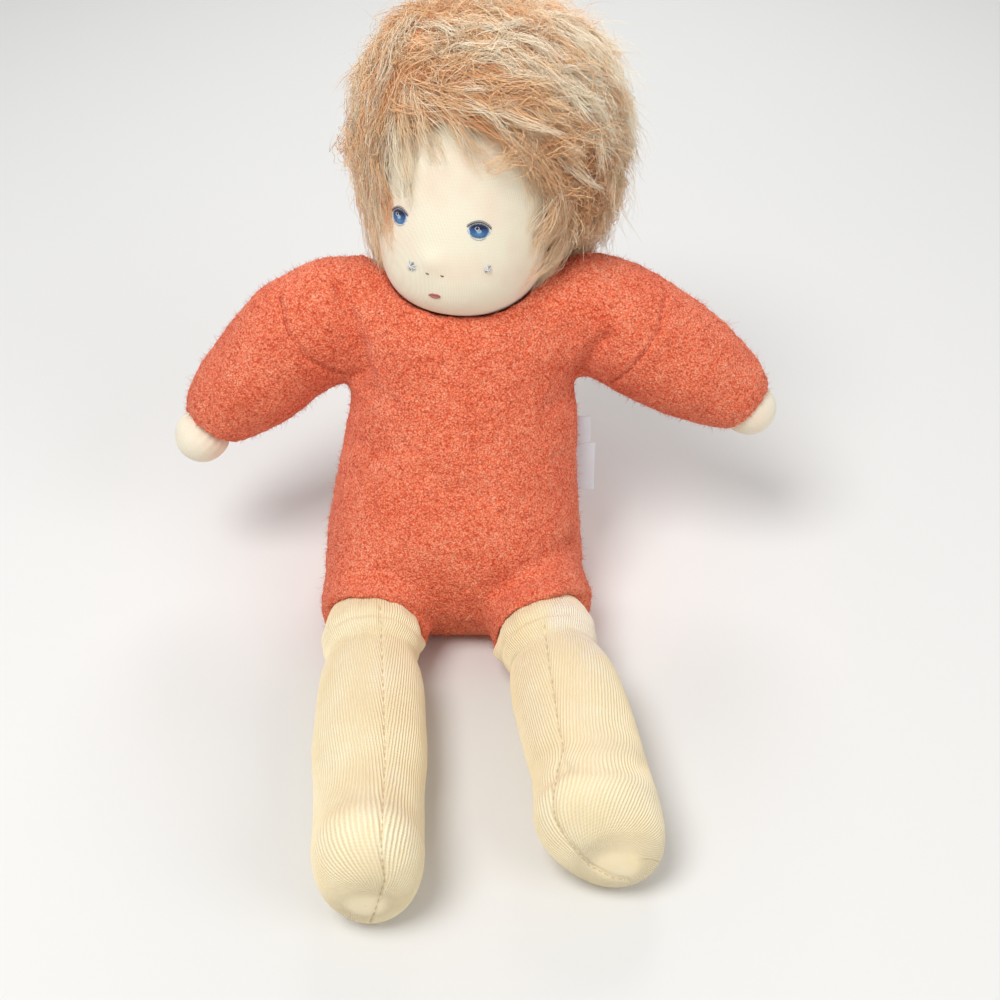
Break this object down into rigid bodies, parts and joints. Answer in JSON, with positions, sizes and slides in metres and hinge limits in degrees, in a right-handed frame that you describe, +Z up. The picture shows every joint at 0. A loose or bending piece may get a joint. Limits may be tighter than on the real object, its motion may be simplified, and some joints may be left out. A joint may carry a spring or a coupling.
{
  "type": "seated waldorf doll",
  "caption": "Soft cloth doll sitting with its legs forward: fleece suit, jersey head and hands, rib-knit legs and a long-pile wig, with limbs that flex at their seams.",
  "frame": {"origin": "on the seat's flat underside, midway between the hips", "axes": "+Z up, -Y the way the legs point and the face looks, +X towards the doll's left hand"},
  "size_m": [0.2358, 0.272, 0.2186],
  "materials": {
    "orange_fleece": "boiled-wool boucle fleece",
    "carded_wool": "carded wool filling",
    "white_satin": "woven satin ribbon",
    "neck_gauze": "cotton gauze over wool",
    "tie_thread": "strong cotton thread",
    "cream_jersey": "fine cotton jersey",
    "rose_thread": "embroidery thread",
    "blue_thread": "embroidery thread",
    "brown_thread": "embroidery thread",
    "white_thread": "embroidery thread",
    "ginger_mohair": "long-pile mohair on a knit cap",
    "tan_rib": "cotton rib knit"
  },
  "bodies": {
    "body": {"body_skin": "orange_fleece", "body_stuffing": "carded_wool", "label_upper": "white_satin", "label_lower": "white_satin"},
    "neck": {"neck_roll": "neck_gauze", "neck_tie": "tie_thread"},
    "head": {"head_skin": "cream_jersey", "inner_head": "carded_wool", "eye_line_tie": "tie_thread", "crown_tie": "tie_thread", "mouth": "rose_thread", "eye_right": "blue_thread", "eye_left": "blue_thread", "nostril_right": "brown_thread", "nostril_left": "brown_thread", "cheek_knot_right": "white_thread", "cheek_knot_left": "white_thread", "wig": "ginger_mohair"},
    "arm_right": {"sleeve_right": "orange_fleece", "arm_stuffing_right": "carded_wool", "hand_skin_right": "cream_jersey", "hand_stuffing_right": "carded_wool", "wrist_tie_right": "tie_thread"},
    "arm_left": {"sleeve_left": "orange_fleece", "arm_stuffing_left": "carded_wool", "hand_skin_left": "cream_jersey", "hand_stuffing_left": "carded_wool", "wrist_tie_left": "tie_thread"},
    "hip_right": {"hip_flange_right": "tan_rib"},
    "hip_left": {"hip_flange_left": "tan_rib"},
    "leg_right": {"leg_skin_right": "tan_rib", "leg_stuffing_right": "carded_wool"},
    "leg_left": {"leg_skin_left": "tan_rib", "leg_stuffing_left": "carded_wool"}
  },
  "joints": [
    {"name": "neck_nod", "type": "hinge", "parent": "body", "child": "neck", "pos_m": [0, 0.03762, 0.10337], "axis": [1, 0, 0], "range_deg": [-12, 8]},
    {"name": "head_turn", "type": "hinge", "parent": "neck", "child": "head", "pos_m": [0, 0.03762, 0.10337], "axis": [0.1219, 0.3395, 0.9327], "range_deg": [-25, 25]},
    {"name": "arm_lift_right", "type": "hinge", "parent": "body", "child": "arm_right", "pos_m": [-0.0485, 0.03814, 0.10478], "axis": [0, -0.9397, 0.342], "range_deg": [-47, 4.5]},
    {"name": "arm_lift_left", "type": "hinge", "parent": "body", "child": "arm_left", "pos_m": [0.0485, 0.03814, 0.10478], "axis": [0, 0.9397, -0.342], "range_deg": [-35, 17]},
    {"name": "leg_swing_right", "type": "hinge", "parent": "body", "child": "hip_right", "pos_m": [-0.0325, -0.045, 0.0209], "axis": [1, 0, 0], "range_deg": [-35, 70]},
    {"name": "leg_spread_right", "type": "hinge", "parent": "hip_right", "child": "leg_right", "pos_m": [-0.0325, -0.045, 0.0209], "axis": [0, 0, 1], "range_deg": [-12, 6]},
    {"name": "leg_swing_left", "type": "hinge", "parent": "body", "child": "hip_left", "pos_m": [0.0325, -0.045, 0.0209], "axis": [1, 0, 0], "range_deg": [-35, 70]},
    {"name": "leg_spread_left", "type": "hinge", "parent": "hip_left", "child": "leg_left", "pos_m": [0.0325, -0.045, 0.0209], "axis": [0, 0, 1], "range_deg": [-12, 12]}
  ]
}
